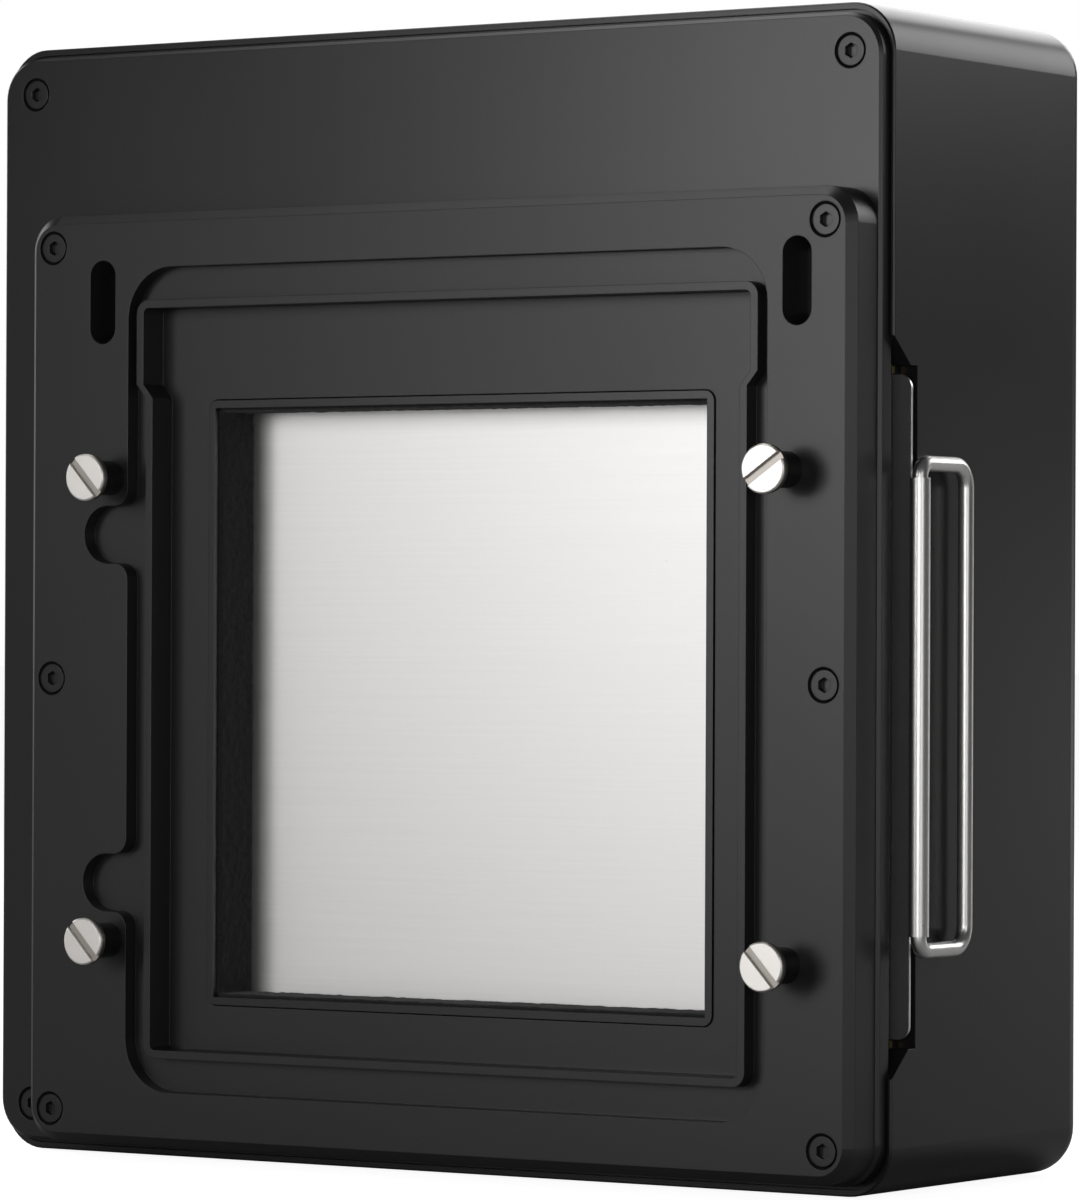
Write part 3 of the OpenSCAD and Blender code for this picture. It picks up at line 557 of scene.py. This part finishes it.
def skin(name, grid, closed, material):
    """A closed mesh over grid[i, j]: j runs round each section, and i runs along the piece
    and closes too, or ends in flat caps. The sign of the volume, the sum of a . (b x c)
    over its triangles, decides which side faces out."""
    m, n = grid.shape[:2]
    i, j = np.meshgrid(np.arange(m if closed else m - 1), np.arange(n), indexing="ij")
    after, beside = (i + 1) % m, (j + 1) % n
    ring = (i * n + j, i * n + beside, after * n + beside, after * n + j)
    quads = np.stack(ring, axis=-1).reshape(-1, 4)
    v = grid.reshape(-1, 3)
    a, b, c, d = (v[quads[:, k]] - v.mean(0) for k in range(4))
    volume = np.sum(a * np.cross(b, c)) + np.sum(a * np.cross(c, d))
    caps = [] if closed else [list(range(n))[::-1], list(range((m - 1) * n, m * n))]
    if volume < 0:
        quads, caps = quads[:, ::-1], [cap[::-1] for cap in caps]
    mesh = bpy.data.meshes.new(name)
    mesh.from_pydata(v.tolist(), [], quads.tolist() + caps)
    mesh.polygons.foreach_set("use_smooth", np.ones(len(mesh.polygons), bool))
    mesh.materials.append(material)
    piece = bpy.data.objects.new(name, mesh)
    bpy.context.scene.collection.objects.link(piece)
    return piece


def piling():
    """Node group: pile or foam. Colour and roughness follow clumps of the given size,
    with finer tips between them."""
    g, given, out = new_group(
        "piling",
        (
            ("Coords", "Vector", None),
            ("Edge", "Vector", None),
            ("Colour", "Color", (0.01, 0.01, 0.01, 1)),
            ("Clumps", "Float", 2500),
            ("Contrast", "Float", 1.0),
        ),
        finish_outputs,
    )
    take = given.outputs
    clump = noise(g, take["Coords"], take["Clumps"], 2)
    tips = noise(g, take["Coords"], 14000, 2)
    both = reckon(g, "ADD", clump.outputs["Fac"], tips.outputs["Fac"])
    centred = reckon(g, "SUBTRACT", both.outputs[0], 1.0)
    shade = reckon(g, "MULTIPLY_ADD", centred.outputs[0], take["Contrast"], 1.0)
    tint = shaded(g, take["Colour"], shade)
    rough = reckon(g, "MULTIPLY_ADD", clump.outputs["Fac"], 0.1, 0.88)
    bump = relief(g, 0.8, 0.00005, both.outputs[0], take["Edge"])
    return closed_group(g, out, tint, rough, bump)


pile_group = piling()


def pile_cloth(name, shade, clump, contrast, sheen):
    """Velvet, felt or foam on the piling group, with a sheen from its fibre tips."""
    values = {"Colour": (shade, shade, shade, 1), "Clumps": clump, "Contrast": contrast}
    m = grouped(name, pile_group, 0.00002, values)
    s = m.node_tree.nodes["Principled BSDF"]
    s.inputs["Sheen Weight"].default_value = sheen
    s.inputs["Sheen Roughness"].default_value = 0.5
    s.inputs["Specular IOR Level"].default_value = 0.2
    return m


velvet = pile_cloth("velvet", 0.018, 2500.0, 1.7, 0.10)


def lining(name, low, high, radius, pile, count, rows, material):
    """A band inside a rounded rectangle. The back lies on the loop, and the face stands
    in by pile * (1 + 0.6 * clumps), halved at both edges by 1 - |2t - 1|^24 / 2."""
    half_x, half_z = (high[0] - low[0]) / 2, (high[2] - low[2]) / 2
    px, pz, nx, nz = rounded_loop(half_x, half_z, radius, count)
    t = np.linspace(0, 1, rows)
    face_y = low[1] + (high[1] - low[1]) * (0.008 + 0.984 * t)
    face_in = 1 - 0.5 * (np.abs(2 * t - 1) ** 24)
    back_y = np.linspace(high[1], low[1], 6)
    y = np.concatenate((face_y, back_y))
    inward = np.concatenate((face_in, np.zeros(6)))[None, :] * pile
    x = px[:, None] - nx[:, None] * inward
    z = pz[:, None] - nz[:, None] * inward
    grid = np.stack((x, np.broadcast_to(y, x.shape), z), axis=-1)
    rise = clumps(grid, 0.00075, 3.0) * 0.6 * inward
    grid[..., 0] -= nx[:, None] * rise
    grid[..., 2] -= nz[:, None] * rise
    grid[..., 0] += (low[0] + high[0]) / 2
    grid[..., 2] += (low[2] + high[2]) / 2
    return skin(name, grid, True, material)


velvet_low, velvet_high = (np.array(v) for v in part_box("window_velvet"))
corner, pile = 0.0006, 0.00035
window_velvet = lining(
    "window_velvet_pile", velvet_low, velvet_high, corner, pile,
    count=1250, rows=38, material=velvet,
)
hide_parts("window_velvet")
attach(window_velvet, "holder")

# Slot velvet. Two pads of the same velvet, one on each side of the slide where
# it leaves the shell; their pile leans on the steel and keeps light out.


def pile_pad(name, low, high, facing, count, across, material):
    """A pad along Z. Its section is a superellipse of power 6 in X and Y, and the side
    that faces the slide is ruffled by clumps."""
    angle = np.linspace(0, 2 * math.pi, across, endpoint=False)
    c, s = np.cos(angle), np.sin(angle)
    reach = (np.abs(c) ** 6 + np.abs(s) ** 6) ** (-1 / 6)
    x = (low[0] + high[0]) / 2 + (high[0] - low[0]) / 2 * c * reach
    y = (low[1] + high[1]) / 2 + (high[1] - low[1]) / 2 * s * reach
    z = np.linspace(low[2], high[2], count)
    grid = np.empty((count, across, 3))
    grid[..., 0], grid[..., 1], grid[..., 2] = x[None, :], y[None, :], z[:, None]
    ruffled = np.clip(facing * s * reach, 0, 1)[None, :]
    grid[..., 1] -= facing * ruffled * (0.5 - clumps(grid, 0.0008, 9.0)) * 0.00016
    return skin(name, grid, False, material)


pads_low, pads_high = (np.array(v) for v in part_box("slot_velvet"))
pad_t = 0.00085
pads = (("slot_pile_front", pads_low[1], 1), ("slot_pile_back", pads_high[1] - pad_t, -1))
for name, y0, facing in pads:
    pad_low = np.array((pads_low[0], y0, pads_low[2]))
    pad_high = np.array((pads_high[0], y0 + pad_t, pads_high[2]))
    pad = pile_pad(name, pad_low, pad_high, facing, count=300, across=56, material=velvet)
    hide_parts("slot_velvet")
    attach(pad, "holder")

# Door seal. A band of open-celled black foam glued to the ledge that the door
# closes on, squeezed flat where it is pressed.
foam = pile_cloth("foam", 0.012, 4200.0, 2.2, 0.02)


def gasket(name, low, high, wide, radius, count, across, material):
    """A closed band round a rounded rectangle in X and Z. Its section is a superellipse
    of power 5, wide by the box's depth, pitted by fine clumps."""
    half_x, half_z = (high[0] - low[0]) / 2, (high[2] - low[2]) / 2
    px, pz, nx, nz = rounded_loop(half_x, half_z, radius, count)
    angle = np.linspace(0, 2 * math.pi, across, endpoint=False)
    c, s = np.cos(angle), np.sin(angle)
    reach = (np.abs(c) ** 5 + np.abs(s) ** 5) ** (-1 / 5)
    inward = wide / 2 * (1 - c * reach)[None, :]
    deep = (low[1] + high[1]) / 2 + (high[1] - low[1]) / 2 * s * reach
    x = px[:, None] - nx[:, None] * inward + (low[0] + high[0]) / 2
    z = pz[:, None] - nz[:, None] * inward + (low[2] + high[2]) / 2
    grid = np.stack((x, np.broadcast_to(deep, x.shape), z), axis=-1)
    pit = (0.5 - clumps(grid, 0.0009, 5.0)) * 0.00012
    grid[..., 1] -= s[None, :] * pit
    return skin(name, grid, True, material)


seal_low, seal_high = (np.array(v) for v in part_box("door_seal"))
wide, corner = 0.0014, 0.0012
door_seal = gasket(
    "door_seal_foam", seal_low, seal_high, wide, corner, count=1400, across=20, material=foam
)
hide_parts("door_seal")
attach(door_seal, "holder")
